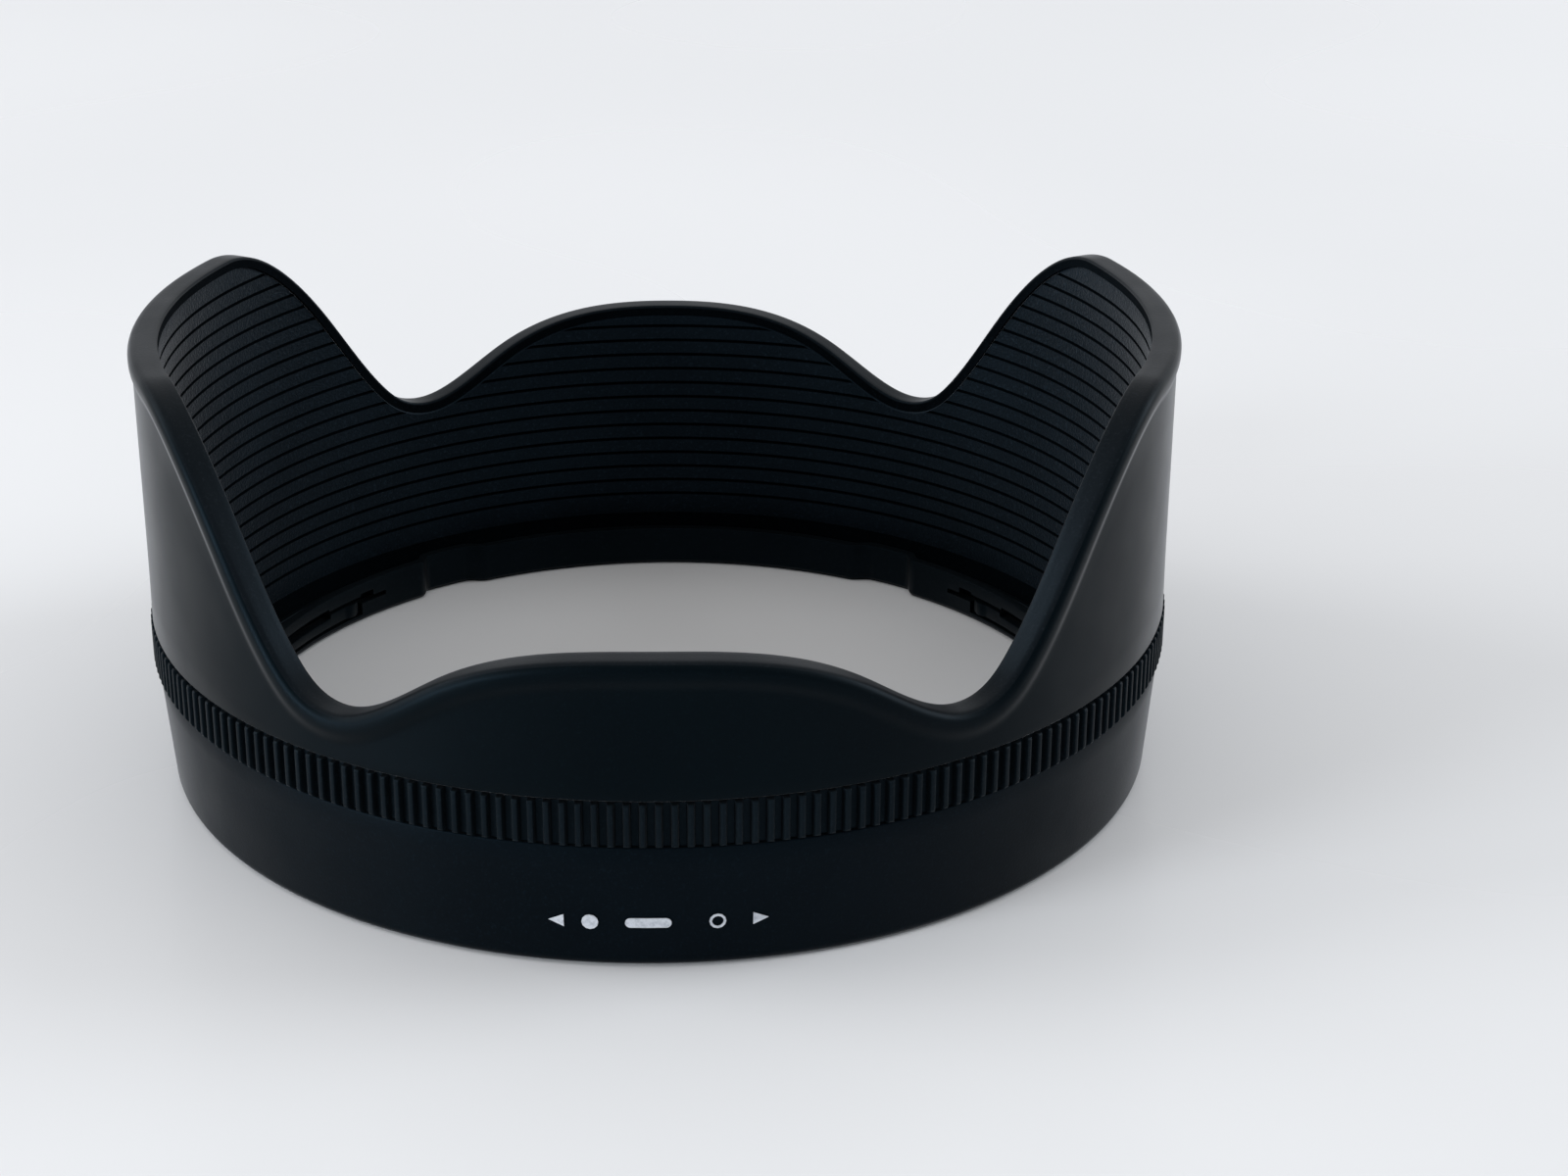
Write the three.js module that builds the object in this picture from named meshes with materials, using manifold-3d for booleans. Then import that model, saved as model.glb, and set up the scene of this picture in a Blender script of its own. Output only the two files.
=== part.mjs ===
// A petal-shaped bayonet lens hood in millimetres, +Z up, standing on its mount end.
// The origin is the centre of the bore on the resting plane. The short petals face -Y and +Y,
// the tall ones -X and +X. Every azimuth is in degrees from -Y, turning towards +X.
import * as THREE from "three";
import { mergeVertices } from "three/addons/utils/BufferGeometryUtils.js";
import Module from "manifold-3d";

const wasm = await Module();
wasm.setup();

// ---- Driving dimensions ----
const SEGMENTS = 96; // facets round a turned surface
const GAP = 0.3; // air between separate pieces
const OVERLAP = 0.1; // how far cuts and joined blocks run into each other
const RIB_RADIUS = 44.8; // ridge line of the grip ribs
const BORE_RADIUS = 38.2; // inside of the bayonet collar
const WALL_RADIUS = 44.6; // outside of the petals
const LIP_RADIUS = 44.9; // soft bead round the rim, the widest part
const WALL_INNER_RADIUS = 42.4; // inside of the petals at the rim

// The rim as seen unrolled, from the middle of a short petal (0) to the middle of a tall one (90):
// a short crest, a notch and a tall flat crest, joined by cubic curves of the given slope in mm per degree.
const RIM = [
  { azimuth: 0, height: 26.5, slope: 0 },
  { azimuth: 22, height: 23.1, slope: -0.43 },
  { azimuth: 34, height: 18.8, slope: 0 },
  { azimuth: 40, height: 20.8, slope: 0.76 },
  { azimuth: 50, height: 30.6, slope: 0.95 },
  { azimuth: 68, height: 39.2, slope: 0 },
  { azimuth: 90, height: 39.2, slope: 0 },
];
const CREST = RIM[RIM.length - 1].height;
const RIM_BAND = 2.6; // lip, rounded edge and inner land, the same all along the rim
const RIM_EDGE = 0.8; // radius of the rim's outer edge

// Heights of the band the hood is turned by
const RING_BOTTOM = 11.1;
const SHOULDER = 15; // underside of the petal shell above the ribs
const RING_TOP = SHOULDER - GAP;
const SKIRT_TOP = RING_BOTTOM - GAP;

// The shell's sleeve, which carries the grip ring, the skirt and the bayonet ring
const SLEEVE_INNER = 41.8;
const SLEEVE_OUTER = 42.6;
const RING_SEAT = 42.9; // the sleeve's wider stretch behind the grip ring

const SKIRT_TOP_RADIUS = 44.45;
const SKIRT_FOOT_RADIUS = 43.65;
const FOOT_FILLET = 0.9;
const SKIRT_FLANGE = 1.2; // thickness of the skirt's turned-in foot

const RIB_COUNT = 228;
const RIB_DEPTH = 0.6;
const RIB_RIDGE = 0.45; // flat top of a rib, as a share of the pitch

const COLLAR_WALL = 1;
const COLLAR_TOP = 3.9;
const COLLAR_CHAMFER = 0.4;
const FLANGE_THICKNESS = 0.7;
const OUTER_RIM = { wall: 0.6, top: 2.6 }; // upstand round the flange, inside the shell's sleeve
const RECESS_DEPTH = 1; // entries for the lens's lugs, in the collar
const RECESS_AZIMUTHS = [28.5, 31.7, 38, 39.8]; // start, floor start, floor end and end

// A detent finger and the pocket it stands in, as azimuths from the nearer short petal's middle
const FINGER = { tip: 52.6, neck: 58.6, root: 69.5, bottom: 1, headTop: 2.25, armTop: 1.85 };
const POCKET = { start: 51.7, neckGap: 0.3, end: 69.95, headSlot: 2.65, armSlot: 2.9 };
const RELIEF = { start: 46.9, thinSlot: 0.45 }; // stepped slot that tapers off beyond the finger's tip
const NIB = { azimuth: 54, width: 1.2, height: 0.25, inset: 0.1 }; // what clicks into the lens's lug

// Printed marks on the front of the skirt
const MARK_HEIGHT = 4.2;
const INK_LIFT = 0.06;
const INK_THICKNESS = 0.06;
const BAR = { azimuth: -0.4, length: 3.6, width: 0.86 };
const ARROW = { length: 1.2, width: 1.08 };
const DOT = { radius: 0.66, line: 0.2 };
// Degrees from the bar to the middle of each mark
const MARK_OFFSETS = { lockArrow: -9.35, lockDot: -5.9, unlockCircle: 7, unlockArrow: 11.4 };

// ---- Helpers ----
const radians = THREE.MathUtils.degToRad;

// The angle from +X of an azimuth, which starts at -Y
function planAngle(azimuth) {
  return radians(azimuth - 90);
}

function mergedGeometry(geometry) {
  const bare = geometry.clone();
  bare.deleteAttribute("normal");
  bare.deleteAttribute("uv");
  return mergeVertices(bare, 1e-4);
}

function solidOf(geometry) {
  const merged = mergedGeometry(geometry);
  return new wasm.Manifold(
    new wasm.Mesh({
      numProp: 3,
      vertProperties: merged.attributes.position.array,
      triVerts: new Uint32Array(merged.index.array),
    }),
  );
}

function geometryOf(solid) {
  const mesh = solid.getMesh();
  const geometry = new THREE.BufferGeometry();
  geometry.setAttribute("position", new THREE.BufferAttribute(mesh.vertProperties, 3));
  geometry.setIndex(new THREE.BufferAttribute(mesh.triVerts, 1));
  return flatShaded(geometry);
}

function flatShaded(geometry) {
  const flat = geometry.index ? geometry.toNonIndexed() : geometry;
  flat.computeVertexNormals();
  return flat;
}

// A closed profile of [radius, height] pairs, outer side going up, turned about Z
function turned(profile) {
  const points = [...profile, profile[0]].map(([radius, height]) => new THREE.Vector2(radius, height));
  return new THREE.LatheGeometry(points, SEGMENTS).rotateX(Math.PI / 2);
}

function extruded(shape, bottom, top) {
  const options = { depth: top - bottom, bevelEnabled: false, curveSegments: SEGMENTS / 4 };
  return new THREE.ExtrudeGeometry(shape, options).translate(0, 0, bottom);
}

// A block of a tube's wall between two radii, two azimuths and two heights
function wallBlock(inner, outer, from, to, bottom, top) {
  const [start, end] = [Math.min(from, to), Math.max(from, to)].map(planAngle);
  const shape = new THREE.Shape();
  shape.absarc(0, 0, outer, start, end, false);
  shape.absarc(0, 0, inner, end, start, true);
  shape.closePath();
  const options = { depth: top - bottom, bevelEnabled: false, curveSegments: 2 };
  return solidOf(new THREE.ExtrudeGeometry(shape, options).translate(0, 0, bottom));
}

// The four mirrored places of what stands beside a short petal's middle
const QUARTERS = [
  { name: "front_right", middle: 0, side: 1 },
  { name: "front_left", middle: 0, side: -1 },
  { name: "back_left", middle: 180, side: 1 },
  { name: "back_right", middle: 180, side: -1 },
];

function quarterAzimuth(quarter, azimuth) {
  return quarter.middle + quarter.side * azimuth;
}

// ---- Petal shell ----
// Folds an azimuth into the first quarter, because the rim mirrors about both X and Y
function foldedAzimuth(azimuth) {
  const half = ((azimuth % 180) + 180) % 180;
  return Math.min(half, 180 - half);
}

function rimHeight(azimuth) {
  const a = foldedAzimuth(azimuth);
  const next = Math.max(1, RIM.findIndex((knot) => knot.azimuth >= a));
  const [low, high] = [RIM[next - 1], RIM[next]];
  const span = high.azimuth - low.azimuth;
  const t = (a - low.azimuth) / span;
  const rise = t * t * (3 - 2 * t);
  const startBend = t * (1 - t) * (1 - t) * span * low.slope;
  const endBend = t * t * (t - 1) * span * high.slope;
  return low.height + (high.height - low.height) * rise + startBend + endBend;
}

// Lowers the rim band to the rim's curve, and the wall under it in proportion
function lowerToRim(geometry) {
  const position = geometry.attributes.position;
  const bandBase = CREST - RIM_BAND;
  for (let i = 0; i < position.count; i++) {
    const azimuth = THREE.MathUtils.radToDeg(Math.atan2(position.getX(i), -position.getY(i)));
    const height = position.getZ(i);
    const share = THREE.MathUtils.clamp((height - SHOULDER) / (bandBase - SHOULDER), 0, 1);
    position.setZ(i, height - share * (CREST - rimHeight(azimuth)));
  }
  return geometry;
}

function hoodShell() {
  const sleeveBottom = SKIRT_FLANGE + GAP;
  const seatStep = RING_BOTTOM - GAP / 2;
  const lipTop = LIP_RADIUS - RIM_EDGE;
  const profile = [
    [SLEEVE_INNER, sleeveBottom],
    [SLEEVE_OUTER, sleeveBottom],
    [SLEEVE_OUTER, seatStep],
    [RING_SEAT, seatStep],
    [RING_SEAT, SHOULDER],
    [WALL_RADIUS, SHOULDER],
    [WALL_RADIUS, CREST - RIM_BAND],
    [LIP_RADIUS, CREST - RIM_EDGE],
    [lipTop + RIM_EDGE * Math.SQRT1_2, CREST - RIM_EDGE * (1 - Math.SQRT1_2)],
    [lipTop, CREST],
    [WALL_INNER_RADIUS, CREST],
    [WALL_INNER_RADIUS, CREST - RIM_BAND],
    [(WALL_INNER_RADIUS + SLEEVE_INNER) / 2, SHOULDER],
  ];
  return flatShaded(mergedGeometry(lowerToRim(turned(profile))));
}

// ---- Grip ring ----
function gripRing() {
  const pitch = (2 * Math.PI) / RIB_COUNT;
  // The bottom of a V groove and the two edges of the ridge beside it, as shares of the pitch
  const rib = [
    [0, RIB_RADIUS - RIB_DEPTH],
    [(1 - RIB_RIDGE) / 2, RIB_RADIUS],
    [(1 + RIB_RIDGE) / 2, RIB_RADIUS],
  ];
  const outline = [];
  for (let i = 0; i < RIB_COUNT; i++) {
    for (const [share, radius] of rib) {
      const angle = (i + share) * pitch;
      outline.push(new THREE.Vector2(radius * Math.cos(angle), radius * Math.sin(angle)));
    }
  }
  const shape = new THREE.Shape(outline);
  shape.holes.push(new THREE.Path().absarc(0, 0, RING_SEAT + GAP, 0, 2 * Math.PI, true));
  return flatShaded(extruded(shape, RING_BOTTOM, RING_TOP));
}

// ---- Skirt ----
function skirtRadius(height) {
  const share = (height - FOOT_FILLET) / (SKIRT_TOP - FOOT_FILLET);
  return SKIRT_FOOT_RADIUS + (SKIRT_TOP_RADIUS - SKIRT_FOOT_RADIUS) * share;
}

function mountSkirt() {
  const innerFoot = SLEEVE_INNER;
  const innerWall = SLEEVE_OUTER + GAP;
  const filletSteps = 3;
  const fillet = [];
  for (let i = 0; i <= filletSteps; i++) {
    const angle = (i / filletSteps) * (Math.PI / 2);
    const radius = SKIRT_FOOT_RADIUS - FOOT_FILLET * (1 - Math.sin(angle));
    fillet.push([radius, FOOT_FILLET * (1 - Math.cos(angle))]);
  }
  const profile = [
    [innerFoot, 0],
    ...fillet,
    [SKIRT_TOP_RADIUS, SKIRT_TOP],
    [innerWall, SKIRT_TOP],
    [innerWall, SKIRT_FLANGE],
    [innerFoot, SKIRT_FLANGE],
  ];
  return flatShaded(mergedGeometry(turned(profile)));
}

// ---- Bayonet ring ----
// A full circle that steps outwards by the recess depth at the four lug entries
function recessedOutline(radius) {
  const step = 360 / SEGMENTS;
  const [start, floorStart, floorEnd, end] = RECESS_AZIMUTHS;
  const outline = [];
  function addArc(from, to, arcRadius) {
    const count = Math.max(1, Math.round((to - from) / step));
    for (let i = 0; i <= count; i++) {
      const angle = planAngle(from + ((to - from) * i) / count);
      outline.push(new THREE.Vector2(arcRadius * Math.cos(angle), arcRadius * Math.sin(angle)));
    }
  }
  for (const middle of [0, 180]) {
    addArc(middle - start, middle + start, radius);
    addArc(middle + floorStart, middle + floorEnd, radius + RECESS_DEPTH);
    addArc(middle + end, middle + 180 - end, radius);
    addArc(middle + 180 - floorEnd, middle + 180 - floorStart, radius + RECESS_DEPTH);
  }
  return outline;
}

function recessedRing(outerOutline, bottom, top) {
  const shape = new THREE.Shape(outerOutline);
  shape.holes.push(new THREE.Path(recessedOutline(BORE_RADIUS).reverse()));
  return solidOf(extruded(shape, bottom, top));
}

function circleOutline(radius) {
  return new THREE.Path().absarc(0, 0, radius, 0, 2 * Math.PI, false).getPoints(SEGMENTS / 2).slice(0, -1);
}

// The slot over a finger, the clearance round it and the relief beyond its tip
function fingerPocket(quarter) {
  const reliefMiddle = (RELIEF.start + POCKET.start) / 2;
  const headEnd = FINGER.neck + POCKET.neckGap;
  const thinTop = FINGER.armTop + RELIEF.thinSlot;
  const cuts = [
    { from: POCKET.start, to: headEnd, bottom: FLANGE_THICKNESS, top: POCKET.headSlot },
    { from: headEnd - OVERLAP, to: POCKET.end, bottom: FLANGE_THICKNESS, top: POCKET.armSlot },
    { from: RELIEF.start, to: POCKET.start + OVERLAP, bottom: FINGER.armTop, top: thinTop },
    { from: reliefMiddle, to: POCKET.start + OVERLAP, bottom: FINGER.armTop, top: POCKET.armSlot },
  ];
  const inner = BORE_RADIUS - COLLAR_WALL / 2;
  const outer = BORE_RADIUS + COLLAR_WALL * 1.5;
  const blocks = cuts.map(({ from, to, bottom, top }) =>
    wallBlock(inner, outer, quarterAzimuth(quarter, from), quarterAzimuth(quarter, to), bottom, top),
  );
  return blocks.reduce((joined, block) => joined.add(block));
}

function leadInChamfer() {
  const below = 1;
  const inner = BORE_RADIUS / 2;
  const cone = [
    [inner, -below],
    [BORE_RADIUS + COLLAR_CHAMFER + below, -below],
    [BORE_RADIUS, COLLAR_CHAMFER],
    [inner, COLLAR_CHAMFER],
  ];
  return solidOf(turned(cone));
}

function bayonetRing() {
  const collar = recessedRing(recessedOutline(BORE_RADIUS + COLLAR_WALL), 0, COLLAR_TOP);
  const rimOuter = SLEEVE_INNER - GAP;
  const rimInner = rimOuter - OUTER_RIM.wall;
  const flange = recessedRing(circleOutline(rimOuter), 0, FLANGE_THICKNESS);
  const outerRim = solidOf(
    turned([
      [rimInner, FLANGE_THICKNESS / 2],
      [rimOuter, FLANGE_THICKNESS / 2],
      [rimOuter, OUTER_RIM.top],
      [rimInner, OUTER_RIM.top],
    ]),
  );
  let ring = collar.add(flange).add(outerRim).subtract(leadInChamfer());
  for (const quarter of QUARTERS) {
    ring = ring.subtract(fingerPocket(quarter));
  }
  return geometryOf(ring);
}

// ---- Detent fingers ----
// A springy tongue of the collar: a tall head with a click nib, on a thinner arm
function detentFinger(quarter) {
  const at = (azimuth) => quarterAzimuth(quarter, azimuth);
  const outer = BORE_RADIUS + COLLAR_WALL;
  const head = wallBlock(BORE_RADIUS, outer, at(FINGER.tip), at(FINGER.neck), FINGER.bottom, FINGER.headTop);
  const armStart = FINGER.neck - OVERLAP;
  const arm = wallBlock(BORE_RADIUS, outer, at(armStart), at(FINGER.root), FINGER.bottom, FINGER.armTop);
  const halfWidth = THREE.MathUtils.radToDeg(NIB.width / 2 / BORE_RADIUS);
  const nib = wallBlock(
    BORE_RADIUS - NIB.height,
    BORE_RADIUS + NIB.height,
    at(NIB.azimuth - halfWidth),
    at(NIB.azimuth + halfWidth),
    FINGER.bottom + NIB.inset,
    FINGER.headTop - NIB.inset,
  );
  return geometryOf(head.add(arm).add(nib));
}

// ---- Printed marks ----
// Wraps a flat mark, drawn in mm about its own middle, onto the skirt's cone
function wrapOnSkirt(shape, azimuth) {
  const options = { depth: INK_THICKNESS, bevelEnabled: false, curveSegments: 6 };
  const geometry = mergedGeometry(new THREE.ExtrudeGeometry(shape, options));
  const position = geometry.attributes.position;
  for (let i = 0; i < position.count; i++) {
    const height = MARK_HEIGHT + position.getY(i);
    const radius = skirtRadius(height) + INK_LIFT + position.getZ(i);
    const angle = planAngle(azimuth) + position.getX(i) / skirtRadius(MARK_HEIGHT);
    position.setXYZ(i, radius * Math.cos(angle), radius * Math.sin(angle), height);
  }
  return flatShaded(geometry);
}

// A bar with round ends, with points along its straight sides so that it follows the curve
function indexBar() {
  const endRadius = BAR.width / 2;
  const reach = BAR.length / 2 - endRadius;
  const sidePoints = [0.5, 0, -0.5].map((share) => share * reach * 2);
  const shape = new THREE.Shape();
  shape.absarc(reach, 0, endRadius, -Math.PI / 2, Math.PI / 2, false);
  sidePoints.forEach((x) => shape.lineTo(x, endRadius));
  shape.absarc(-reach, 0, endRadius, Math.PI / 2, -Math.PI / 2, false);
  [...sidePoints].reverse().forEach((x) => shape.lineTo(x, -endRadius));
  return wrapOnSkirt(shape, BAR.azimuth);
}

function arrow(side, offset) {
  const shape = new THREE.Shape();
  shape.moveTo((side * ARROW.length) / 2, 0);
  shape.lineTo((-side * ARROW.length) / 2, (side * ARROW.width) / 2);
  shape.lineTo((-side * ARROW.length) / 2, (-side * ARROW.width) / 2);
  shape.closePath();
  return wrapOnSkirt(shape, BAR.azimuth + offset);
}

function lockedDot() {
  const shape = new THREE.Shape().absarc(0, 0, DOT.radius, 0, 2 * Math.PI, false);
  return wrapOnSkirt(shape, BAR.azimuth + MARK_OFFSETS.lockDot);
}

function unlockedCircle() {
  const shape = new THREE.Shape().absarc(0, 0, DOT.radius, 0, 2 * Math.PI, false);
  shape.holes.push(new THREE.Path().absarc(0, 0, DOT.radius - DOT.line, 0, 2 * Math.PI, true));
  return wrapOnSkirt(shape, BAR.azimuth + MARK_OFFSETS.unlockCircle);
}

// ---- Materials ----
function satinPlastic() {
  return new THREE.MeshStandardMaterial({ color: 0x1a1b1e, roughness: 0.42, metalness: 0 });
}

function gripRubber() {
  return new THREE.MeshStandardMaterial({ color: 0x151617, roughness: 0.75, metalness: 0 });
}

function softTouchPlastic() {
  return new THREE.MeshStandardMaterial({ color: 0x171819, roughness: 0.68, metalness: 0 });
}

function mattePlastic() {
  return new THREE.MeshStandardMaterial({ color: 0x121315, roughness: 0.6, metalness: 0 });
}

function whiteInk() {
  return new THREE.MeshStandardMaterial({ color: 0xe8e8e4, roughness: 0.6, metalness: 0 });
}

// ---- Assembly ----
const hood = new THREE.Group();

function addPart(name, geometry, material) {
  const mesh = new THREE.Mesh(geometry, material);
  mesh.name = name;
  hood.add(mesh);
}

addPart("hood_shell", hoodShell(), satinPlastic());
addPart("grip_ring", gripRing(), gripRubber());
addPart("mount_skirt", mountSkirt(), softTouchPlastic());
addPart("bayonet_ring", bayonetRing(), mattePlastic());
for (const quarter of QUARTERS) {
  addPart(`detent_finger_${quarter.name}`, detentFinger(quarter), mattePlastic());
}
addPart("index_bar", indexBar(), whiteInk());
addPart("lock_arrow", arrow(-1, MARK_OFFSETS.lockArrow), whiteInk());
addPart("locked_dot", lockedDot(), whiteInk());
addPart("unlocked_circle", unlockedCircle(), whiteInk());
addPart("unlock_arrow", arrow(1, MARK_OFFSETS.unlockArrow), whiteInk());

export default hood;
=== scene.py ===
import math

import bmesh
import bpy
import numpy as np
from mathutils import Matrix, Vector


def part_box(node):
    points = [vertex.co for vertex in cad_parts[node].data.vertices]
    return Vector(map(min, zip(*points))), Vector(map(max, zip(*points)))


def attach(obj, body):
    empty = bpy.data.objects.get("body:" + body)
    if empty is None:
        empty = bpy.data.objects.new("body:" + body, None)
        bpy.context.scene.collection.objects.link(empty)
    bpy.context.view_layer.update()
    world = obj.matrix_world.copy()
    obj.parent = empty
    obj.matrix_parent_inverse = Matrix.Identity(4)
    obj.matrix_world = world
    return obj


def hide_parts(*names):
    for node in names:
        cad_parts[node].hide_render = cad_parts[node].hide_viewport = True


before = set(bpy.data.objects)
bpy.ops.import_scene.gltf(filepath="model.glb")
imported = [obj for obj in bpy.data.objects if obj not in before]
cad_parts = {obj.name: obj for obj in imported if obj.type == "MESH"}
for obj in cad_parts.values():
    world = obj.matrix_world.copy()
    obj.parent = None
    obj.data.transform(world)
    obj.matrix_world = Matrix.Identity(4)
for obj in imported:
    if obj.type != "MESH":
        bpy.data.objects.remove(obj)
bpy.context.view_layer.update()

MM = 0.001
COLUMNS = 720  # facets round the fine turned pieces
SHARP_ANGLE = 32  # edges that turn by more degrees than this stay sharp
COLLAPSED = 0.002  # points nearer to each other than this are one point


def node_sizes(node):
    """A CAD node's outer radius, lowest height and highest height, in mm."""
    low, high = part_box(node)
    return high.x / MM, low.z / MM, high.z / MM


# ---- Sizes, from the frame ----
LIP_RADIUS, SLEEVE_BOTTOM, CREST = node_sizes("hood_shell")
RIB_RADIUS, RING_BOTTOM, RING_TOP = node_sizes("grip_ring")
SKIRT_RADIUS, _, SKIRT_TOP = node_sizes("mount_skirt")
BAYONET_RADIUS, _, COLLAR_TOP = node_sizes("bayonet_ring")

GAP = RING_BOTTOM - SKIRT_TOP
SEAM = 0.06  # what stays open of that gap between the outer pieces
RING_FOOT = RING_BOTTOM - GAP / 3  # the fine ring fills a third of the gap, the skirt most of the rest
SHOULDER = RING_TOP + GAP
BEAD = 0.3  # how far the rim's outer bead stands proud of the wall
WALL_RADIUS = LIP_RADIUS - BEAD
SLEEVE_INNER = BAYONET_RADIUS + GAP
SLEEVE_OUTER = SLEEVE_INNER + 0.8
RING_SEAT = SLEEVE_OUTER + GAP
RIM_INNER = LIP_RADIUS - 2.5

# The rim from the middle of a short petal to the middle of a tall one: azimuth, height and slope per degree
RIM = (
    (0, 26.5, 0),
    (22, 23.1, -0.43),
    (34, 18.8, 0),
    (40, 20.8, 0.76),
    (50, 30.6, 0.95),
    (68, CREST, 0),
    (90, CREST, 0),
)
RIM_SAMPLES = 7200  # points round the rim by which its length is measured
RIM_EDGE = 0.8  # radius of the rim's outer edge
RIM_INNER_EDGE = 0.14  # radius of its inner edge
RIM_FACE_ROWS = (0.6, 1.2)  # rows on the flat of the rim, from its inner radius
RIM_FACE_END = 0.45  # the rim's finish ends this far inside its outer radius

LIP = 2.4  # how far below the rim the outer bead fades into the wall
LIP_FULL = 1.1  # how far below the rim it starts to fade
WALL_ROWS = 8
FLARE, FLARE_HEIGHT = 0.05, 5  # the outer wall widens by this towards the shoulder, over this height
SHOULDER_EDGE = 0.05  # radius of the shell's lower outer edge

LAND = 1.0  # plain strip inside the rim, above the grooves, painted black as shade under the rim
LAND_MIDDLE = 0.6
LAND_PROUD = 0.04  # how far its lower edge stands inwards of the rim
LAND_RISE = 0.06  # height of the step up to it
LAND_LINE = 0.1  # depth of the line under it, which is painted black as shade too
RIM_LINE = 0.1  # width of the pale line above it, inside the rim's inner edge
GROOVE_STOP = 0.12  # grooves end this far under the land

INNER_TOP_RADIUS = RIM_INNER + 0.12
INNER_TAPER = 1.3  # how much sooner than at the crest the inner wall reaches that radius
WELL_SHADE = 4.3  # top of the strip of painted shade behind the bayonet collar, where the wall lies in the collar's shadow
WELL_ROWS = (SLEEVE_BOTTOM, SLEEVE_BOTTOM + 0.2, 3.0, WELL_SHADE, 5.4)
GROOVE_FIRST, GROOVE_PITCH, GROOVE_COUNT = 6.4, 1.5, 21
GROOVE_DEPTH, GROOVE_HALF = 0.3, 0.15

RIB_COUNT, RIB_DEPTH = 228, 0.62
# Half a rib across: share of the pitch and share of the rib's depth
HALF_RIB = ((0, 0), (0.22, 0), (0.26, 0.12), (0.285, 0.45), (0.305, 0.78), (0.34, 0.95), (0.4, 1.0))
RIB_CROWN = (0.5, 1.02)
RIB_FOOT_CUTS, RIB_FOOT_RISES = (0.34, 0.12), (0.1, 0.3)  # how the ribs round off at the bottom
RIB_TOP_CUT, RIB_TOP_DROP = 0.1, 0.12  # the chamfer at their top

FOOT_FILLET = 0.9
FOOT_BEVEL = 0.1
SKIRT_FOOT_RADIUS = SKIRT_RADIUS - 0.8
SKIRT_EDGE = 0.15
TAPER_ROWS = 6

BORE_RADIUS = BAYONET_RADIUS - 3.3
COLLAR_WALL = 1.0
FLANGE = 0.7
UPSTAND_TOP, UPSTAND_WALL, UPSTAND_EDGE = 2.6, 0.6, 0.08  # the low wall round the flange
COLLAR_EDGE, COLLAR_CORNER = 0.1, 0.03  # the collar's top edges, and the extra point that rounds the inner
LEAD_IN, LEAD_IN_TOP = 0.36, 0.42  # width and height of the chamfer at the lens's end of the bore
LEAD_IN_ROUND = (0.05, 0.34)  # the point that rounds it: distance outside the bore and height

RECESS_DEPTH = 1.0
RECESS = (28.5, 31.7, 38.0, 39.8)  # start, floor start, floor end and end of a lug recess
FINGER = {"tip": 52.6, "neck": 58.6, "root": 69.5, "bottom": 1.0, "head_top": 2.25, "arm_top": 1.85}
FINGER_HEAD_ROWS, FINGER_ARM_ROWS = 16, 24
FINGER_STEP = 0.12  # degrees over which the head drops to the arm
FINGER_BEVEL = 0.07
POCKET = {"start": 51.7, "neck": 58.9, "end": 69.95, "head_top": 2.65, "arm_top": 2.9, "relief": 46.9}
RELIEF_HEIGHT = 0.45
CUT_MARGIN = 0.6  # how far the cuts reach past both sides of the collar
CUT_OVERLAP = 0.1  # degrees by which neighbouring cuts run into each other
CUT_OFFSET = 0.005  # keeps the faces of neighbouring cuts from lying in one plane
NIB = {"azimuth": 54.0, "half_width": 0.9, "height": 0.25}
QUARTERS = (("front_right", 0, 1), ("front_left", 0, -1), ("back_left", 180, 1), ("back_right", 180, -1))


# ---- Mesh helpers ----
def smoothstep(t):
    t = min(max(t, 0.0), 1.0)
    return t * t * (3 - 2 * t)


def place(azimuth, radius, height):
    """A point in metres from an azimuth in degrees and a radius and height in mm."""
    a = math.radians(azimuth)
    return (radius * math.sin(a) * MM, -radius * math.cos(a) * MM, height * MM)


def new_object(name, bm, materials):
    """Turns a finished bmesh into a smooth-shaded object of the scene."""
    mesh = bpy.data.meshes.new(name)
    bmesh.ops.recalc_face_normals(bm, faces=bm.faces)
    bm.to_mesh(mesh)
    bm.free()
    for material in materials:
        mesh.materials.append(material)
    mesh.shade_smooth()
    mesh.set_sharp_from_angle(angle=math.radians(SHARP_ANGLE))
    piece = bpy.data.objects.new(name, mesh)
    bpy.context.scene.collection.objects.link(piece)
    return piece


def take_place_of(piece, body, node):
    """Puts a finished piece on a CAD body, in place of a CAD node."""
    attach(piece, body)
    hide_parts(node)


def grid_mesh(columns, row_materials):
    """A ring-shaped closed mesh: columns of points, each a closed loop, joined to the next column."""
    bm = bmesh.new()
    verts = [[bm.verts.new(point) for point in column] for column in columns]
    rows = len(columns[0])
    for i, column in enumerate(verts):
        following = verts[(i + 1) % len(verts)]
        for j in range(rows):
            k = (j + 1) % rows
            face = bm.faces.new((column[j], following[j], following[k], column[k]))
            face.material_index = row_materials[j]
    return bm


def merge_collapsed(bm):
    """Joins points that fell together, so that no face is left without area."""
    bmesh.ops.remove_doubles(bm, verts=bm.verts, dist=COLLAPSED * MM)
    bmesh.ops.dissolve_degenerate(bm, edges=bm.edges, dist=COLLAPSED * MM)


def arc_points(centre_radius, centre_height, radius, start, end, steps):
    """Points of a rounded edge in a (radius, height) section, angles in degrees from +radius."""
    angles = [math.radians(start + (end - start) * i / steps) for i in range(steps + 1)]
    return [(centre_radius + radius * math.cos(a), centre_height + radius * math.sin(a)) for a in angles]


# ---- Shader helpers: they add nodes to a material's tree, and most return an output socket ----
def principled(name):
    """A new material with its node tree, shader and object coordinates."""
    material = bpy.data.materials.new(name)
    material.use_nodes = True
    tree = material.node_tree
    coordinates = tree.nodes.new("ShaderNodeTexCoord").outputs["Object"]
    return material, tree, tree.nodes["Principled BSDF"], coordinates


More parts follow.
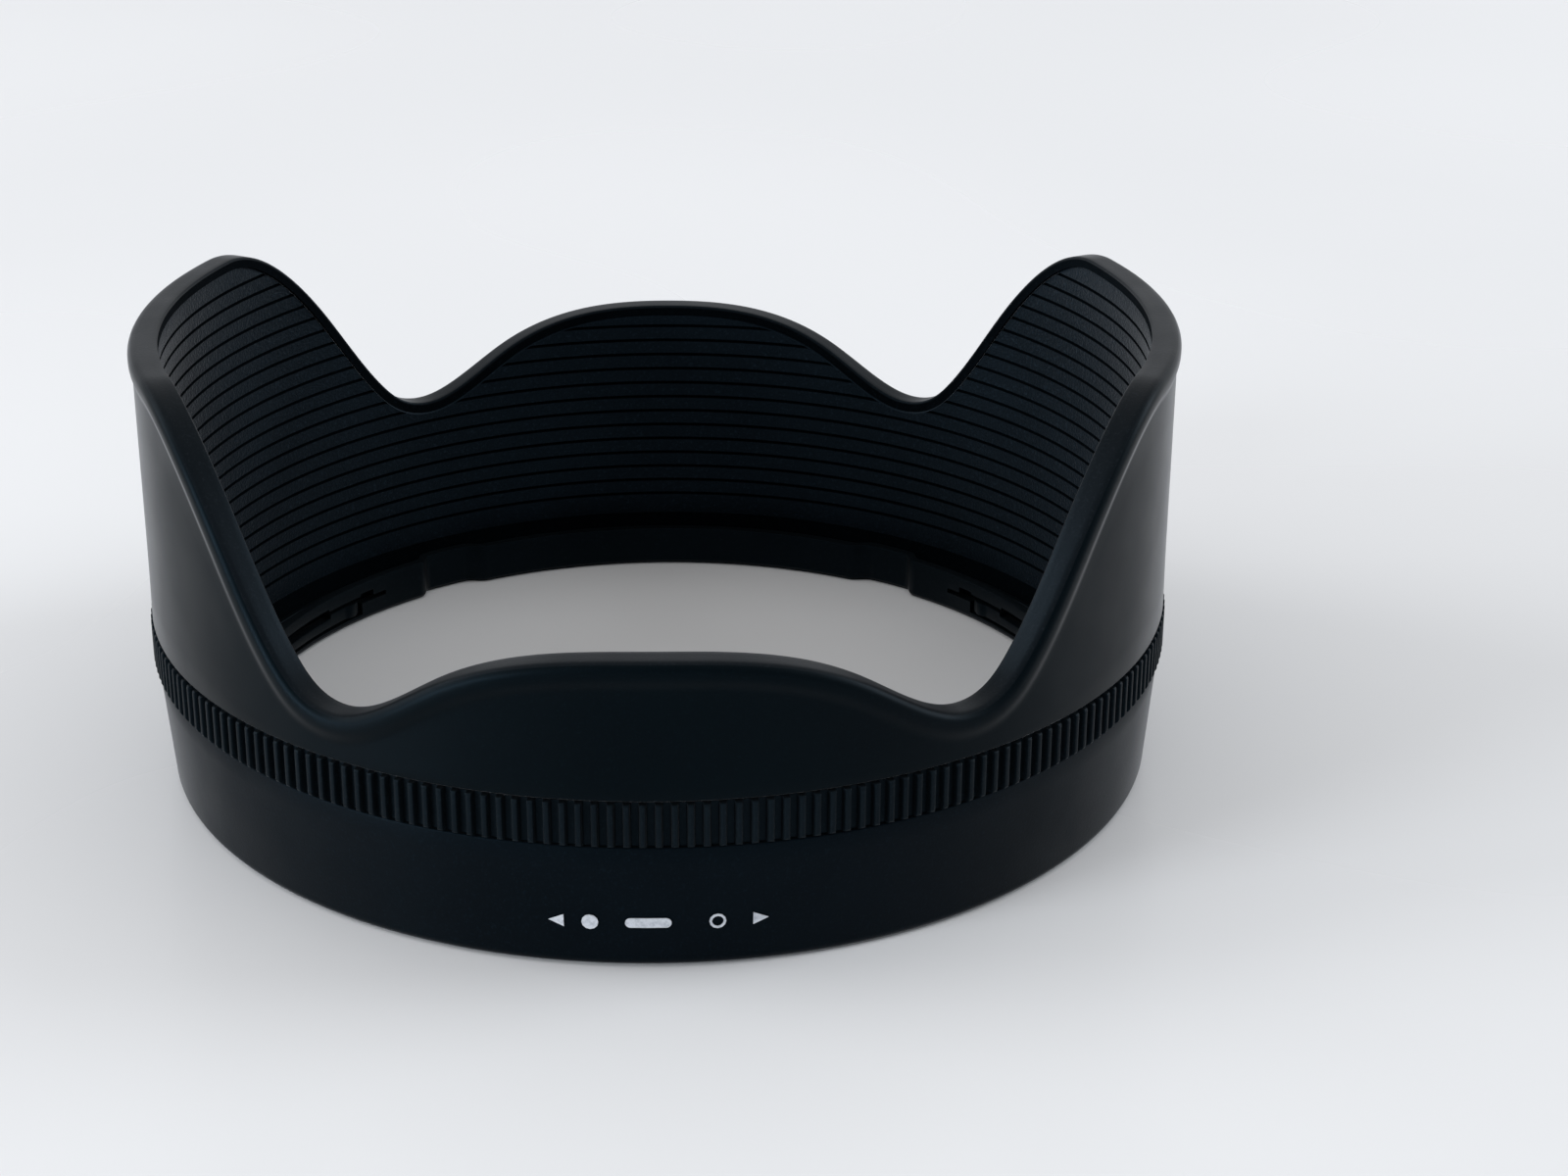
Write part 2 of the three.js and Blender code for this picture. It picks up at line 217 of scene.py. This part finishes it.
def noise(tree, coordinates, scale, detail=2.0, roughness=0.5):
    node = tree.nodes.new("ShaderNodeTexNoise")
    node.inputs["Scale"].default_value = scale
    node.inputs["Detail"].default_value = detail
    node.inputs["Roughness"].default_value = roughness
    tree.links.new(coordinates, node.inputs["Vector"])
    return node.outputs["Fac"]


def ramp(tree, factor, stops):
    """A colour ramp: stops are (position, colour)."""
    node = tree.nodes.new("ShaderNodeValToRGB")
    elements = node.color_ramp.elements
    while len(elements) < len(stops):
        elements.new(0.5)
    for element, (position, colour) in zip(elements, stops):
        element.position = position
        element.color = (*colour, 1)
    tree.links.new(factor, node.inputs["Fac"])
    return node.outputs["Color"]


def remap(tree, factor, low, high, from_low=0.3, from_high=0.7):
    """Stretches a range to low..high. The middle of a noise lies between 0.3 and 0.7."""
    node = tree.nodes.new("ShaderNodeMapRange")
    node.inputs["From Min"].default_value = from_low
    node.inputs["From Max"].default_value = from_high
    node.inputs["To Min"].default_value = low
    node.inputs["To Max"].default_value = high
    tree.links.new(factor, node.inputs["Value"])
    return node.outputs["Result"]


def mix_colours(tree, factor, first, second):
    """Blends two colours, each a tuple or a socket."""
    node = tree.nodes.new("ShaderNodeMix")
    node.data_type = "RGBA"
    tree.links.new(factor, node.inputs["Factor"])
    for socket, value in (("A", first), ("B", second)):
        if isinstance(value, tuple):
            node.inputs[socket].default_value = (*value, 1)
        else:
            tree.links.new(value, node.inputs[socket])
    return node.outputs["Result"]


def arithmetic(tree, operation, first, second):
    """A sum on a socket and a number or another socket."""
    node = tree.nodes.new("ShaderNodeMath")
    node.operation = operation
    tree.links.new(first, node.inputs[0])
    if isinstance(second, float):
        node.inputs[1].default_value = second
    else:
        tree.links.new(second, node.inputs[1])
    return node.outputs[0]


def specks(tree, coordinates, share):
    """A mask that is 1 in a small spot of the given share of a Voronoi texture's cells."""
    cells = tree.nodes.new("ShaderNodeTexVoronoi")
    cells.inputs["Scale"].default_value = SPECK_SCALE
    tree.links.new(coordinates, cells.inputs["Vector"])
    random = tree.nodes.new("ShaderNodeSeparateColor")
    tree.links.new(cells.outputs["Color"], random.inputs["Color"])
    chosen = arithmetic(tree, "LESS_THAN", random.outputs["Red"], share)
    size = arithmetic(tree, "MULTIPLY", random.outputs["Green"], SPECK_SIZE)
    near = arithmetic(tree, "LESS_THAN", cells.outputs["Distance"], size)
    return arithmetic(tree, "MULTIPLY", chosen, near)


def bumped(tree, shader, height, strength, distance):
    bump = tree.nodes.new("ShaderNodeBump")
    bump.inputs["Strength"].default_value = strength
    bump.inputs["Distance"].default_value = distance * MM
    tree.links.new(height, bump.inputs["Height"])
    tree.links.new(bump.outputs["Normal"], shader.inputs["Normal"])


# ---- Materials: noise and speck scales are per metre ----
CLOUD_SCALE, STREAK_SCALE = 60, 140  # of the uneven colour and the uneven gloss
CLOUD_GAIN, GLINT_GAIN = 1.7, 3.5  # how much lighter than the base the clouds and the grain get
GLOSS_SPREAD = 0.05  # how far the roughness strays
GRAIN_DEPTH = 0.1
SPECK_SCALE, SPECK_SIZE = 420, 0.06
DUST = (0.2, 0.21, 0.22)
GLOSS_TINT = (0.38, 0.66, 0.92)
SHEEN_TINT = (0.94, 0.96, 1.0)
SHEEN_ROUGHNESS = 0.25

INK_WORN, INK_FULL = (0.36, 0.39, 0.44), (0.56, 0.59, 0.64)
INK_SCALE, INK_ROUGHNESS, INK_RELIEF = 2600, 0.55, 0.15
INK_DEPTH = 0.05

FLOOR_DARK, FLOOR_LIGHT = (0.745, 0.755, 0.775), (0.775, 0.785, 0.805)
FLOOR_SCALE, FLOOR_IOR = 9, 1.25
FLOOR_ROUGHNESS = (0.22, 0.32)


def black_plastic(name, base, rough, ior, sheen, grain_scale, grain, speck_share=0.03):
    """Moulded black plastic: mottled colour, uneven gloss, a fine grain and a little dust.

    It reflects blue-black where it is seen square on, and turns pale and neutral at grazing angles.
    """
    material, tree, shader, coordinates = principled(name)
    cloud = noise(tree, coordinates, CLOUD_SCALE, 4)
    fine = noise(tree, coordinates, grain_scale, 3, 0.6)
    light = tuple(CLOUD_GAIN * channel for channel in base)
    mottled = ramp(tree, cloud, [(0.35, base), (0.7, light)])
    glint = tuple(GLINT_GAIN * channel for channel in base)
    grained = mix_colours(tree, remap(tree, fine, 0, 1, 0.55, 0.75), mottled, glint)
    colour = mix_colours(tree, specks(tree, coordinates, speck_share), grained, DUST)
    tree.links.new(colour, shader.inputs["Base Color"])
    streaks = noise(tree, coordinates, STREAK_SCALE, 2)
    gloss = remap(tree, streaks, rough - GLOSS_SPREAD, rough + GLOSS_SPREAD)
    tree.links.new(gloss, shader.inputs["Roughness"])
    shader.inputs["IOR"].default_value = ior
    shader.inputs["Specular Tint"].default_value = (*GLOSS_TINT, 1)
    shader.inputs["Sheen Weight"].default_value = sheen
    shader.inputs["Sheen Roughness"].default_value = SHEEN_ROUGHNESS
    shader.inputs["Sheen Tint"].default_value = (*SHEEN_TINT, 1)
    bumped(tree, shader, fine, grain, GRAIN_DEPTH)
    return material


def white_ink():
    """White print, slightly worn."""
    material, tree, shader, coordinates = principled("white_ink")
    wear = noise(tree, coordinates, INK_SCALE, 4, 0.65)
    tree.links.new(ramp(tree, wear, [(0.3, INK_WORN), (0.55, INK_FULL)]), shader.inputs["Base Color"])
    shader.inputs["Roughness"].default_value = INK_ROUGHNESS
    bumped(tree, shader, wear, INK_RELIEF, INK_DEPTH)
    return material


def floor_material():
    """A pale glossy acrylic sheet with faint smears."""
    material, tree, shader, coordinates = principled("pale_floor")
    smears = noise(tree, coordinates, FLOOR_SCALE, 0)
    colour = ramp(tree, smears, [(0.3, FLOOR_DARK), (0.7, FLOOR_LIGHT)])
    tree.links.new(colour, shader.inputs["Base Color"])
    tree.links.new(remap(tree, smears, *FLOOR_ROUGHNESS), shader.inputs["Roughness"])
    shader.inputs["IOR"].default_value = FLOOR_IOR
    return material


SATIN = black_plastic(
    "satin_shell", (0.0004, 0.0011, 0.0015), rough=0.45, ior=1.17, sheen=0.6, grain_scale=5200, grain=0.04
)
RIM_FINISH = black_plastic(
    "satin_rim", (0.0024, 0.0029, 0.0035), rough=0.42, ior=1.2, sheen=0.1, grain_scale=4200, grain=0.12
)
INSIDE = black_plastic(
    "matte_inside", (0.0024, 0.0042, 0.0062), rough=0.5, ior=1.24, sheen=0.6, grain_scale=3400, grain=0.8
)
# Painted shade: a dull black without sheen, put on the grooves, on the land and the line under the rim and
# on the wall behind the bayonet collar, where the real hood lies in shadow
SHADE_PAINT = black_plastic(
    "painted_shade_black", (0.0008, 0.0014, 0.002), rough=0.8, ior=1.1, sheen=0.0, grain_scale=3000, grain=0.2,
    speck_share=0.0,
)
SOFT_TOUCH = black_plastic(
    "soft_touch_skirt", (0.0007, 0.0016, 0.0025), rough=0.5, ior=1.16, sheen=0.45, grain_scale=4200,
    grain=0.1, speck_share=0.05,
)
RUBBER = black_plastic(
    "grip_rubber", (0.0018, 0.003, 0.004), rough=0.55, ior=1.2, sheen=0.1, grain_scale=3600, grain=0.15,
    speck_share=0.04,
)
BAYONET = black_plastic(
    "bayonet_plastic", (0.001, 0.0017, 0.0022), rough=0.45, ior=1.22, sheen=0.05, grain_scale=3600,
    grain=0.12,
)
INK = white_ink()


# ---- Petal shell ----
SHELL_MATERIALS = (SATIN, RIM_FINISH, INSIDE, SHADE_PAINT)
OUTER, RIM_FACE, INNER, PAINTED_SHADE = range(4)  # their places in that list
# Across a groove: share of its half width, share of its depth and the finish of the strip that follows; the
# groove itself is painted shade, the strip after it the inner wall's own finish
GROOVE_SECTION = ((-1, 0, PAINTED_SHADE), (-0.55, 1, PAINTED_SHADE), (0.55, 1, PAINTED_SHADE), (1, 0, INNER))


def rim_height(azimuth):
    """Height of the rim, which mirrors about both X and Y, from cubic curves between its knots."""
    a = azimuth % 180
    a = min(a, 180 - a)
    for (a0, h0, s0), (a1, h1, s1) in zip(RIM, RIM[1:]):
        if a <= a1:
            break
    span = a1 - a0
    t = (a - a0) / span
    bend = t * (1 - t) * (1 - t) * span * s0 + t * t * (t - 1) * span * s1
    return h0 + (h1 - h0) * smoothstep(t) + bend


def rim_columns():
    """Azimuth, height and slope angle of rim points that stand equally far apart along the rim."""
    azimuths = np.linspace(0, 360, RIM_SAMPLES + 1)
    heights = np.array([rim_height(a) for a in azimuths])
    arc = np.radians(azimuths) * WALL_RADIUS
    lengths = np.concatenate([[0], np.cumsum(np.hypot(np.diff(arc), np.diff(heights)))])
    wanted = np.linspace(0, lengths[-1], COLUMNS, endpoint=False)
    slopes = np.arctan2(np.gradient(heights), np.gradient(arc))
    return [
        (np.interp(w, lengths, azimuths), np.interp(w, lengths, heights), np.interp(w, lengths, slopes))
        for w in wanted
    ]


def below_rim(azimuth, height, slope, distance):
    """The point that far inside the material, square to the rim, on the unrolled wall."""
    along = distance * math.sin(slope) / WALL_RADIUS
    return azimuth + math.degrees(along), height - distance * math.cos(slope)


def outer_wall_radius(height):
    return WALL_RADIUS + FLARE * (1 - smoothstep((height - SHOULDER) / FLARE_HEIGHT))


def inner_wall_radius(height):
    share = (height - SLEEVE_BOTTOM) / (CREST - SLEEVE_BOTTOM)
    return SLEEVE_INNER + (INNER_TOP_RADIUS - SLEEVE_INNER) * min(share * INNER_TAPER, 1)


def inner_wall_rows(land_top):
    """The inside of the shell from its foot up to the land: finish, radius and height of each row."""
    # Below WELL_SHADE the wall is painted shade, as it lies hidden in shadow behind the collar
    rows = [(PAINTED_SHADE if z < WELL_SHADE else INNER, inner_wall_radius(z), z) for z in WELL_ROWS]
    groove_top = land_top - GROOVE_STOP
    for k in range(GROOVE_COUNT):
        middle = GROOVE_FIRST + k * GROOVE_PITCH
        for offset, depth, kind in GROOVE_SECTION:
            z = middle + offset * GROOVE_HALF
            cut = GROOVE_DEPTH * depth if z < groove_top else 0
            z = min(z, groove_top)
            rows.append((kind, inner_wall_radius(z) + cut, z))
    # The line and the land under the rim are painted shade
    rows.append((PAINTED_SHADE, inner_wall_radius(land_top) + LAND_LINE, land_top))
    rows.append((PAINTED_SHADE, RIM_INNER - LAND_PROUD, land_top + LAND_RISE))
    return rows


def rim_rows():
    """The land, the rim and the outer bead: finish, distance below the rim and radius of each row."""
    rows = [
        # the land is painted shade
        (PAINTED_SHADE, LAND_MIDDLE, RIM_INNER - LAND_PROUD / 2),
        (RIM_FACE, RIM_INNER_EDGE + RIM_LINE, RIM_INNER - LAND_PROUD / 2),
        (RIM_FACE, RIM_INNER_EDGE, RIM_INNER - LAND_PROUD / 2),
    ]
    for radius, up in arc_points(RIM_INNER + RIM_INNER_EDGE, -RIM_INNER_EDGE, RIM_INNER_EDGE, 150, 90, 2):
        rows.append((RIM_FACE, -up, radius))
    for inset in RIM_FACE_ROWS:
        rows.append((RIM_FACE, 0, RIM_INNER + inset))
    for radius, up in arc_points(LIP_RADIUS - RIM_EDGE, -RIM_EDGE, RIM_EDGE, 90, 0, 7):
        rows.append((RIM_FACE if radius < LIP_RADIUS - RIM_FACE_END else OUTER, -up, radius))
    return rows


def shell_column(azimuth, height, slope):
    """One closed section of the shell: up the inside, over the rim and down the outside."""
    points = []
    kinds = []

    def add(kind, at, radius, z):
        points.append(place(at, radius, z))
        kinds.append(kind)

    land_at, land_top = below_rim(azimuth, height, slope, LAND)
    for kind, radius, z in inner_wall_rows(land_top):
        add(kind, land_at, radius, z)
    for kind, distance, radius in rim_rows():
        at, z = below_rim(azimuth, height, slope, distance)
        add(kind, at, radius, z)
    for step in range(1, WALL_ROWS + 1):
        distance = RIM_EDGE + (LIP - RIM_EDGE) * step / WALL_ROWS
        at, z = below_rim(azimuth, height, slope, distance)
        swell = BEAD * (1 - smoothstep((distance - LIP_FULL) / (LIP - LIP_FULL)))
        add(OUTER, at, outer_wall_radius(z) + swell, z)
    lip_at, lip_z = below_rim(azimuth, height, slope, LIP)
    foot_z = SHOULDER + SHOULDER_EDGE
    for step in range(1, WALL_ROWS + 1):
        z = lip_z + (foot_z - lip_z) * step / WALL_ROWS
        add(OUTER, lip_at, outer_wall_radius(z), z)

    corner = outer_wall_radius(SHOULDER) - SHOULDER_EDGE
    for radius, z in arc_points(corner, foot_z, SHOULDER_EDGE, -30, -90, 2):
        add(OUTER, lip_at, radius, z)
    step_z = RING_BOTTOM - GAP / 2
    for radius, z in (
        (RING_SEAT, SHOULDER),
        (RING_SEAT, step_z),
        (SLEEVE_OUTER, step_z),
        (SLEEVE_OUTER, SLEEVE_BOTTOM),
    ):
        add(INNER, lip_at, radius, z)
    return points, kinds


def build_shell():
    sections = [shell_column(*column) for column in rim_columns()]
    bm = grid_mesh([points for points, _ in sections], sections[0][1])
    merge_collapsed(bm)
    shell = new_object("petal_shell", bm, SHELL_MATERIALS)
    take_place_of(shell, "hood", "hood_shell")


# ---- Grip ring ----
def build_grip_ring():
    """Rounded ribs: a flat groove floor, steep flanks and a softly crowned ridge, chamfered at both ends."""
    floor = RIB_RADIUS - RIB_DEPTH
    rib = [*HALF_RIB, RIB_CROWN, *[(1 - share, rise) for share, rise in HALF_RIB[:0:-1]]]
    back = RING_SEAT + GAP
    columns = []
    for i in range(RIB_COUNT):
        for share, rise in rib:
            azimuth = (i + share) * 360 / RIB_COUNT
            radius = floor + RIB_DEPTH * rise
            section = (
                (back, RING_FOOT),
                (min(radius, RIB_RADIUS - RIB_FOOT_CUTS[0]), RING_FOOT),
                (min(radius, RIB_RADIUS - RIB_FOOT_CUTS[1]), RING_FOOT + RIB_FOOT_RISES[0]),
                (radius, RING_FOOT + RIB_FOOT_RISES[1]),
                (radius, RING_TOP - RIB_TOP_DROP),
                (min(radius, RIB_RADIUS - RIB_TOP_CUT), RING_TOP),
                (back, RING_TOP),
            )
            columns.append([place(azimuth, r, z) for r, z in section])
    ring = new_object("ribbed_grip", grid_mesh(columns, [0] * len(columns[0])), [RUBBER])
    take_place_of(ring, "hood", "grip_ring")


# ---- Skirt ----
def build_skirt():
    """A gently tapered ring with a rounded foot, turned from one section."""
    top = RING_FOOT - SEAM
    flange = SLEEVE_BOTTOM - GAP
    taper_width = SKIRT_RADIUS - SKIRT_FOOT_RADIUS
    taper_height = top - SKIRT_EDGE - FOOT_FILLET
    taper = [
        (SKIRT_FOOT_RADIUS + taper_width * i / TAPER_ROWS, FOOT_FILLET + taper_height * i / TAPER_ROWS)
        for i in range(1, TAPER_ROWS + 1)
    ]
    section = [
        (SLEEVE_INNER, FOOT_BEVEL),
        (SLEEVE_INNER + FOOT_BEVEL, 0),
        *arc_points(SKIRT_FOOT_RADIUS - FOOT_FILLET, FOOT_FILLET, FOOT_FILLET, -90, 0, 8),
        *taper,
        *arc_points(SKIRT_RADIUS - SKIRT_EDGE, top - SKIRT_EDGE, SKIRT_EDGE, 30, 90, 2),
        (RING_SEAT, top),
        (RING_SEAT, flange),
        (SLEEVE_INNER, flange),
    ]
    azimuths = [i * 360 / COLUMNS for i in range(COLUMNS)]
    bm = grid_mesh([[place(a, r, z) for r, z in section] for a in azimuths], [0] * len(section))
    take_place_of(new_object("mounting_skirt", bm, [SOFT_TOUCH]), "hood", "mount_skirt")


# ---- Bayonet ring ----
def recess_jog(azimuth):
    """How far the collar steps outwards at an azimuth."""
    a = azimuth % 180
    a = min(a, 180 - a)
    start, floor_start, floor_end, end = RECESS
    rise = smoothstep((a - start) / (floor_start - start))
    fall = smoothstep((end - a) / (end - floor_end))
    return RECESS_DEPTH * min(rise, fall)


def lofted(sections):
    """A closed solid through sections that have the same number of points."""
    bm = bmesh.new()
    loops = [[bm.verts.new(point) for point in section] for section in sections]
    count = len(sections[0])
    for first, second in zip(loops, loops[1:]):
        for j in range(count):
            k = (j + 1) % count
            bm.faces.new((first[j], second[j], second[k], first[k]))
    bm.faces.new(loops[0][::-1])
    bm.faces.new(loops[-1])
    bmesh.ops.recalc_face_normals(bm, faces=bm.faces)
    return bm


def box_section(azimuth, inner, outer, bottom, top):
    """A rectangle in the plane of an azimuth."""
    corners = ((inner, bottom), (outer, bottom), (outer, top), (inner, top))
    return [place(azimuth, r, z) for r, z in corners]


def cutter_block(quarter, start, end, bottom, top):
    """A wedge of a thick tube, wide enough to cut right through the collar, with a section per degree."""
    _, middle, side = quarter
    steps = max(2, round(abs(end - start)))
    inner = BORE_RADIUS - CUT_MARGIN
    outer = BORE_RADIUS + COLLAR_WALL + CUT_MARGIN
    azimuths = [middle + side * (start + (end - start) * i / steps) for i in range(steps + 1)]
    return lofted([box_section(azimuth, inner, outer, bottom, top) for azimuth in azimuths])


def pocket_cuts():
    """Start, end, bottom and top of the cuts that free a finger.

    They are for its head, for its arm and for the two steps of the relief past its tip.
    """
    relief_middle = (POCKET["relief"] + POCKET["start"]) / 2
    relief_bottom = FINGER["arm_top"]
    return (
        (POCKET["start"], POCKET["neck"], FLANGE - 2 * CUT_OFFSET, POCKET["head_top"]),
        (POCKET["neck"] - CUT_OVERLAP, POCKET["end"], FLANGE - 3 * CUT_OFFSET, POCKET["arm_top"]),
        (POCKET["relief"], POCKET["start"] + CUT_OVERLAP, relief_bottom, relief_bottom + RELIEF_HEIGHT),
        (
            relief_middle,
            POCKET["start"] + 1.5 * CUT_OVERLAP,
            relief_bottom + 2 * CUT_OFFSET,
            POCKET["arm_top"],
        ),
    )


def helper_object(name, bm):
    mesh = bpy.data.meshes.new(name)
    bm.to_mesh(mesh)
    bm.free()
    helper = bpy.data.objects.new(name, mesh)
    bpy.context.scene.collection.objects.link(helper)
    return helper


def apply_modifiers(piece):
    """Keeps what the modifiers make as the piece's own mesh."""
    evaluated = piece.evaluated_get(bpy.context.evaluated_depsgraph_get())
    mesh = bpy.data.meshes.new_from_object(evaluated)
    piece.modifiers.clear()
    piece.data = mesh


def cut(piece, cutters):
    for cutter in cutters:
        modifier = piece.modifiers.new("cut", "BOOLEAN")
        modifier.operation = "DIFFERENCE"
        modifier.object = cutter
    apply_modifiers(piece)
    for cutter in cutters:
        bpy.data.objects.remove(cutter)


def bayonet_section(jog):
    """The ring's section from the bottom outwards: flange, upstand and collar, which moves out by jog."""
    bore = BORE_RADIUS + jog
    back = bore + COLLAR_WALL
    upstand_inner = BAYONET_RADIUS - UPSTAND_WALL
    return (
        (bore + LEAD_IN, 0),
        (BAYONET_RADIUS - UPSTAND_EDGE, 0),
        (BAYONET_RADIUS, UPSTAND_EDGE),
        (BAYONET_RADIUS, UPSTAND_TOP - UPSTAND_EDGE),
        (BAYONET_RADIUS - UPSTAND_EDGE, UPSTAND_TOP),
        (upstand_inner + UPSTAND_EDGE, UPSTAND_TOP),
        (upstand_inner, UPSTAND_TOP - UPSTAND_EDGE),
        (upstand_inner, FLANGE),
        (back, FLANGE),
        (back, COLLAR_TOP - COLLAR_EDGE),
        (back - COLLAR_EDGE, COLLAR_TOP),
        (bore + COLLAR_EDGE, COLLAR_TOP),
        (bore + COLLAR_CORNER, COLLAR_TOP - COLLAR_CORNER),
        (bore, COLLAR_TOP - COLLAR_EDGE),
        (bore, LEAD_IN_TOP),
        (bore + LEAD_IN_ROUND[0], LEAD_IN_ROUND[1]),
    )


def build_bayonet():
    columns = []
    for i in range(COLUMNS):
        azimuth = i * 360 / COLUMNS
        section = bayonet_section(recess_jog(azimuth))
        columns.append([place(azimuth, r, z) for r, z in section])
    ring = new_object("bayonet_collar", grid_mesh(columns, [0] * len(columns[0])), [BAYONET])
    cutters = []
    for quarter in QUARTERS:
        for number, bounds in enumerate(pocket_cuts()):
            block = cutter_block(quarter, *bounds)
            cutters.append(helper_object(f"cut_{quarter[0]}_{number}", block))
    cut(ring, cutters)
    ring.data.set_sharp_from_angle(angle=math.radians(SHARP_ANGLE))
    take_place_of(ring, "hood", "bayonet_ring")


def build_finger(quarter):
    """A click finger: a thin arm that rises to a taller head with a rounded nib on its inner face."""
    name, middle, side = quarter
    tip, neck, root = FINGER["tip"], FINGER["neck"], FINGER["root"]
    head = [tip + (neck - FINGER_STEP - tip) * i / FINGER_HEAD_ROWS for i in range(FINGER_HEAD_ROWS + 1)]
    arm = [neck + (root - neck) * i / FINGER_ARM_ROWS for i in range(FINGER_ARM_ROWS + 1)]
    outer = BORE_RADIUS + COLLAR_WALL
    sections = []
    for a in head + arm:
        top = FINGER["head_top"] if a < neck else FINGER["arm_top"]
        reach = (a - NIB["azimuth"]) / NIB["half_width"]
        nib = NIB["height"] * math.sqrt(max(0, 1 - reach * reach))
        sections.append(box_section(middle + side * a, BORE_RADIUS - nib, outer, FINGER["bottom"], top))
    finger = new_object(f"click_finger_{name}", lofted(sections), [BAYONET])
    bevel = finger.modifiers.new("edges", "BEVEL")
    bevel.width = FINGER_BEVEL * MM
    bevel.segments = 2
    bevel.angle_limit = math.radians(50)
    apply_modifiers(finger)
    finger.data.shade_smooth()
    finger.data.set_sharp_from_angle(angle=math.radians(40))
    take_place_of(finger, f"finger_{name}", f"detent_finger_{name}")


# ---- Printed marks: the CAD patches keep their shape ----
def print_marks():
    for node in ("index_bar", "lock_arrow", "locked_dot", "unlocked_circle", "unlock_arrow"):
        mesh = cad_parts[node].data
        mesh.materials.clear()
        mesh.materials.append(INK)


# ---- Studio, in metres ----
FLOOR_RADIUS = 3.0
FLOOR_DROP = 0.02 * MM  # keeps the floor from lying in one plane with the hood's foot

# The tent's colour from the camera's side to the far side, and what it blends into overhead
TENT_STOPS = (
    (0.0, (0.5, 0.52, 0.56)),
    (0.3, (0.6, 0.62, 0.66)),
    (0.6, (0.9, 0.93, 0.98)),
    (1.0, (1.0, 1.02, 1.06)),
)
CEILING = (0.86, 0.84, 0.81)
CEILING_START, CEILING_FULL = 0.35, 0.95  # how steeply upwards, as a share of straight up
TENT_STRENGTH = 0.88

LIGHT_TARGET = Vector((0, 0, 0.02))
# Name, place, diameter, power in watts and colour
LIGHTS = (
    ("key_left", (-0.85, 0.1, 0.45), 0.5, 2.8, (1.0, 1.0, 1.0)),
    ("window_left", (-0.8, -0.5, 0.2), 0.36, 6.0, (0.92, 0.96, 1.0)),
    ("fill_right", (0.85, 0.15, 0.4), 0.5, 3.6, (0.95, 0.98, 1.0)),
)

CAMERA_PLACE = Vector((5.46, -242.35, 116.92)) * MM
CAMERA_HEADING, CAMERA_TILT, CAMERA_ROLL = 1.314, 23.105, 0.34  # degrees from +Y, downwards and roll
SENSOR_WIDTH, FOCAL_LENGTH = 36, 67.396
CLIP_NEAR, CLIP_FAR = 0.005, 20


def build_floor():
    bm = bmesh.new()
    bmesh.ops.create_circle(bm, cap_ends=True, cap_tris=False, segments=64, radius=FLOOR_RADIUS)
    floor = new_object("studio_floor", bm, [floor_material()])
    floor.location.z = -FLOOR_DROP


def build_world():
    """A soft pale tent that is darker on the camera's side and a little dimmer overhead."""
    world = bpy.data.worlds.new("tent")
    bpy.context.scene.world = world
    world.use_nodes = True
    tree = world.node_tree
    direction = tree.nodes.new("ShaderNodeTexCoord").outputs["Generated"]
    split = tree.nodes.new("ShaderNodeSeparateXYZ")
    tree.links.new(direction, split.inputs["Vector"])
    side = ramp(tree, remap(tree, split.outputs["Y"], 0, 1, -1, 1), TENT_STOPS)
    upward = remap(tree, split.outputs["Z"], 0, 1, CEILING_START, CEILING_FULL)
    background = tree.nodes["Background"]
    tree.links.new(mix_colours(tree, upward, side, CEILING), background.inputs["Color"])
    background.inputs["Strength"].default_value = TENT_STRENGTH


def build_lights():
    for name, location, diameter, power, colour in LIGHTS:
        light = bpy.data.lights.new(name, "AREA")
        light.shape = "DISK"
        light.size = diameter
        light.energy = power
        light.color = colour
        lamp = bpy.data.objects.new(name, light)
        lamp.location = location
        lamp.rotation_euler = (LIGHT_TARGET - Vector(location)).to_track_quat("-Z", "Y").to_euler()
        bpy.context.scene.collection.objects.link(lamp)


def build_camera():
    """The camera stands in front, a little to the right, and looks down at the hood."""
    heading, tilt, roll = (math.radians(a) for a in (CAMERA_HEADING, CAMERA_TILT, CAMERA_ROLL))
    level_reach = math.cos(tilt)
    forward = Vector((math.sin(heading) * level_reach, math.cos(heading) * level_reach, -math.sin(tilt)))
    level = Vector((math.cos(heading), -math.sin(heading), 0))
    upright = level.cross(forward)
    right = level * math.cos(roll) + upright * math.sin(roll)
    up = upright * math.cos(roll) - level * math.sin(roll)
    data = bpy.data.cameras.new("camera")
    data.sensor_width = SENSOR_WIDTH
    data.lens = FOCAL_LENGTH
    data.clip_start, data.clip_end = CLIP_NEAR, CLIP_FAR
    camera = bpy.data.objects.new("camera", data)
    turn = Matrix((right, up, -forward)).transposed().to_4x4()
    camera.matrix_world = Matrix.Translation(CAMERA_PLACE) @ turn
    bpy.context.scene.collection.objects.link(camera)
    bpy.context.scene.camera = camera


build_camera()
build_shell()
build_grip_ring()
build_skirt()
build_bayonet()
for quarter in QUARTERS:
    build_finger(quarter)
print_marks()
build_floor()
build_world()
build_lights()
bpy.context.scene.view_settings.view_transform = "Standard"
